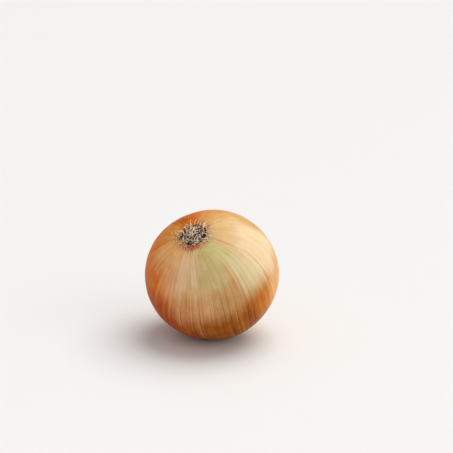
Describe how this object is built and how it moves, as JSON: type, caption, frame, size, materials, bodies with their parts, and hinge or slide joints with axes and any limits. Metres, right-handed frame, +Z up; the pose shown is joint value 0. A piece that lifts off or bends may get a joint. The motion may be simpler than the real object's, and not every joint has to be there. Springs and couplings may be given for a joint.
{
  "type": "onion",
  "caption": "Whole yellow onion in its dry skin, lying on its shoulder with the tuft of roots raised to the front and the dry neck folded back underneath.",
  "frame": {"origin": "on the surface the onion rests on, under the centre of its bounding box", "axes": "+Z up, -Y towards the raised root end, +Y towards the folded neck, +X across the growth axis"},
  "size_m": [0.0812, 0.0778, 0.0751],
  "materials": {
    "skin": "satin",
    "neck": "matte",
    "root": "matte"
  },
  "bodies": {
    "root": {"bulb": "skin", "neck": "neck", "root_tuft": "root"}
  },
  "joints": []
}
